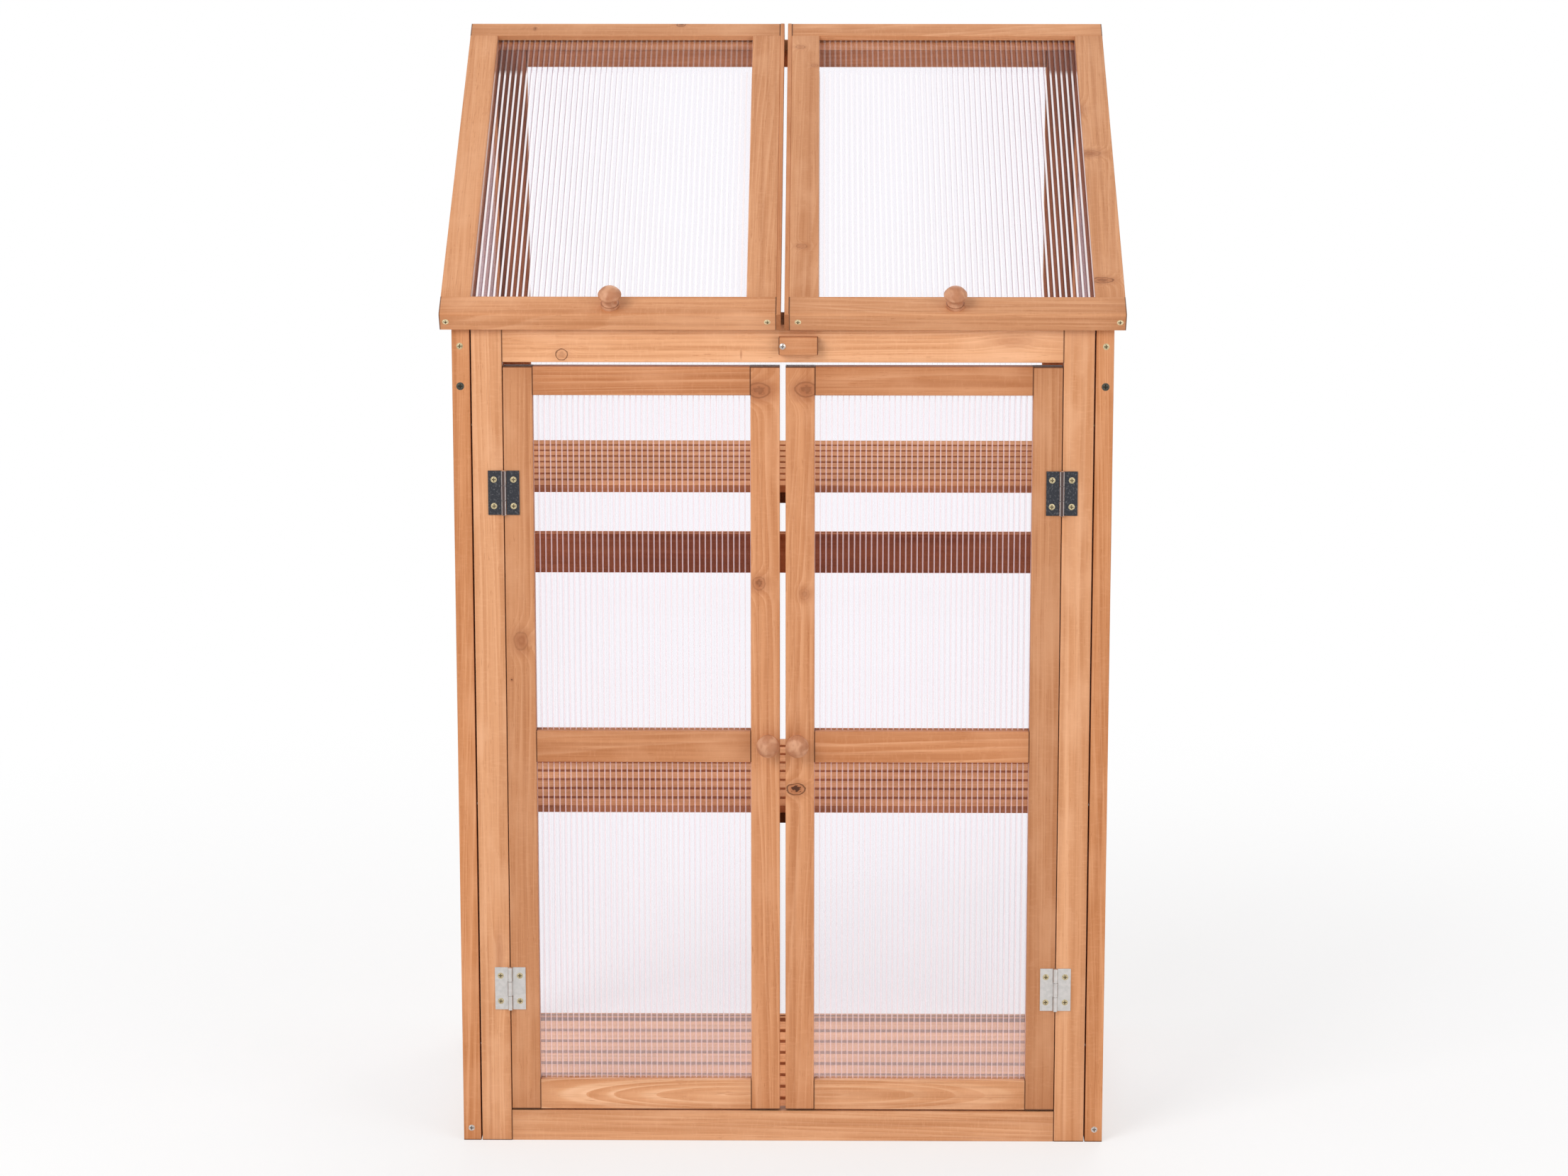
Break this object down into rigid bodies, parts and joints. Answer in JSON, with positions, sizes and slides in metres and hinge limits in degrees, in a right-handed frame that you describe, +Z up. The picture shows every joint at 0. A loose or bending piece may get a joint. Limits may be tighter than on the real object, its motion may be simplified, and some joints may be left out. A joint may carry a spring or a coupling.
{
  "type": "mini greenhouse",
  "caption": "Free-standing wooden mini greenhouse with twin-wall glazing, two doors, two hinged roof lids, slatted shelves and a turn button.",
  "frame": {"origin": "middle of the overall box, on the ground", "axes": "+X to the right seen from the doors, +Y from the doors to the back wall, +Z up"},
  "size_m": [0.76, 0.4902, 1.2589],
  "materials": {
    "timber": "oiled softwood, satin",
    "turned_wood": "turned softwood, matt",
    "twin_wall_sheet": "clear twin-wall sheet",
    "zinc": "bright zinc plate",
    "brass_screws": "yellow-passivated",
    "steel_nails": "bright wire"
  },
  "bodies": {
    "cabinet": {"front_frame_stiles": "timber", "front_frame_top_rail": "timber", "front_frame_bottom_rail": "timber", "back_wall_stiles": "timber", "back_wall_top_rail": "timber", "back_wall_mid_rail": "timber", "back_wall_bottom_rail": "timber", "back_wall_panes": "twin_wall_sheet", "upper_shelf_slats": "timber", "middle_shelf_slats": "timber", "floor_slats": "timber", "shelf_bearers": "timber", "shelf_nails": "steel_nails", "shelf_cleats": "timber", "cabinet_hinge_leaves": "zinc", "hinge_pins": "zinc", "cabinet_screws": "brass_screws", "left_side_front_post": "timber", "left_side_back_post": "timber", "left_side_top_rail": "timber", "left_side_cross_rails": "timber", "left_side_panes": "twin_wall_sheet", "right_side_front_post": "timber", "right_side_back_post": "timber", "right_side_top_rail": "timber", "right_side_cross_rails": "timber", "right_side_panes": "twin_wall_sheet"},
    "left_door": {"left_door_stiles": "timber", "left_door_top_rail": "timber", "left_door_mid_rail": "timber", "left_door_bottom_rail": "timber", "left_door_panes": "twin_wall_sheet", "left_door_knob": "turned_wood", "left_door_hinge_leaves": "zinc", "left_door_screws": "brass_screws"},
    "right_door": {"right_door_stiles": "timber", "right_door_top_rail": "timber", "right_door_mid_rail": "timber", "right_door_bottom_rail": "timber", "right_door_panes": "twin_wall_sheet", "right_door_knob": "turned_wood", "right_door_hinge_leaves": "zinc", "right_door_screws": "brass_screws"},
    "left_lid": {"left_lid_stiles": "timber", "left_lid_back_rail": "timber", "left_lid_front_rail": "timber", "left_lid_edge_lath": "timber", "left_lid_pane": "twin_wall_sheet", "left_lid_knob": "turned_wood", "left_lid_hinge_leaves": "zinc", "left_lid_screws": "brass_screws"},
    "right_lid": {"right_lid_stiles": "timber", "right_lid_back_rail": "timber", "right_lid_front_rail": "timber", "right_lid_edge_lath": "timber", "right_lid_pane": "twin_wall_sheet", "right_lid_knob": "turned_wood", "right_lid_hinge_leaves": "zinc", "right_lid_screws": "brass_screws"},
    "turn_button": {"turn_button": "timber"}
  },
  "joints": [
    {"name": "left_door_hinge", "type": "hinge", "parent": "cabinet", "child": "left_door", "pos_m": [-0.312, -0.22133, 0.47], "axis": [0, 0, -1], "range_deg": [0, 175]},
    {"name": "right_door_hinge", "type": "hinge", "parent": "cabinet", "child": "right_door", "pos_m": [0.312, -0.22133, 0.47], "axis": [0, 0, 1], "range_deg": [0, 175]},
    {"name": "left_lid_hinge", "type": "hinge", "parent": "cabinet", "child": "left_lid", "pos_m": [-0.1935, 0.24247, 1.24121], "axis": [-1, 0, 0], "range_deg": [0, 205]},
    {"name": "right_lid_hinge", "type": "hinge", "parent": "cabinet", "child": "right_lid", "pos_m": [0.1935, 0.24247, 1.24121], "axis": [-1, 0, 0], "range_deg": [0, 205]},
    {"name": "turn_button_pivot", "type": "hinge", "parent": "cabinet", "child": "turn_button", "pos_m": [0, -0.22473, 0.9235], "axis": [0, -1, 0], "range_deg": [-90, 10]}
  ]
}
